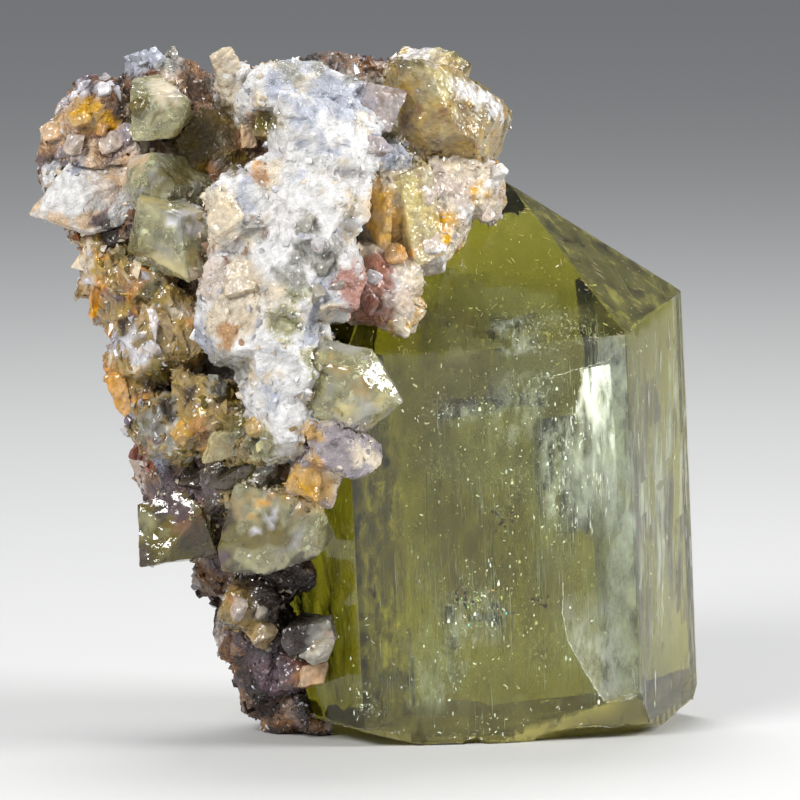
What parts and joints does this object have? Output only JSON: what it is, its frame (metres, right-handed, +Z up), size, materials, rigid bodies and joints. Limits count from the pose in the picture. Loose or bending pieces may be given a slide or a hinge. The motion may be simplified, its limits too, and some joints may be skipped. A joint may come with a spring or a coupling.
{
  "type": "fluorapatite crystal on matrix",
  "caption": "Large six-sided yellow-green fluorapatite crystal with a low point and a broken base, standing upright with quartz, small crystals and iron-stained rock along its left side.",
  "frame": {"origin": "on the surface that the specimen stands on, in the flat part of the break under the large crystal", "axes": "+Z up, -Y towards the viewer of the crystal's broad front face, +X to the right, away from the rock"},
  "size_m": [0.0463, 0.0344, 0.0476],
  "materials": {
    "apatite": "gloss",
    "pale_apatite": "gloss",
    "white_quartz": "satin",
    "stained_quartz": "satin",
    "golden_quartz": "gloss",
    "smoky_quartz": "gloss",
    "rock": "matte"
  },
  "bodies": {
    "root": {"apatite_crystal": "apatite", "blade_crystal": "pale_apatite", "lower_green_crystal": "pale_apatite", "left_green_crystal": "pale_apatite", "pocket_crystal_upper": "pale_apatite", "pocket_crystal_middle": "pale_apatite", "pocket_crystal_lower": "pale_apatite", "left_point_crystal": "stained_quartz", "top_crystal": "pale_apatite", "stained_quartz": "stained_quartz", "quartz_shelf": "white_quartz", "quartz_vein": "white_quartz", "orange_cluster": "golden_quartz", "smoky_crystal": "smoky_quartz", "golden_cluster": "golden_quartz", "foot_white_crystal": "white_quartz", "foot_tan_crystal": "stained_quartz", "foot_golden_crystal": "golden_quartz", "matrix_rock": "rock"}
  },
  "joints": []
}
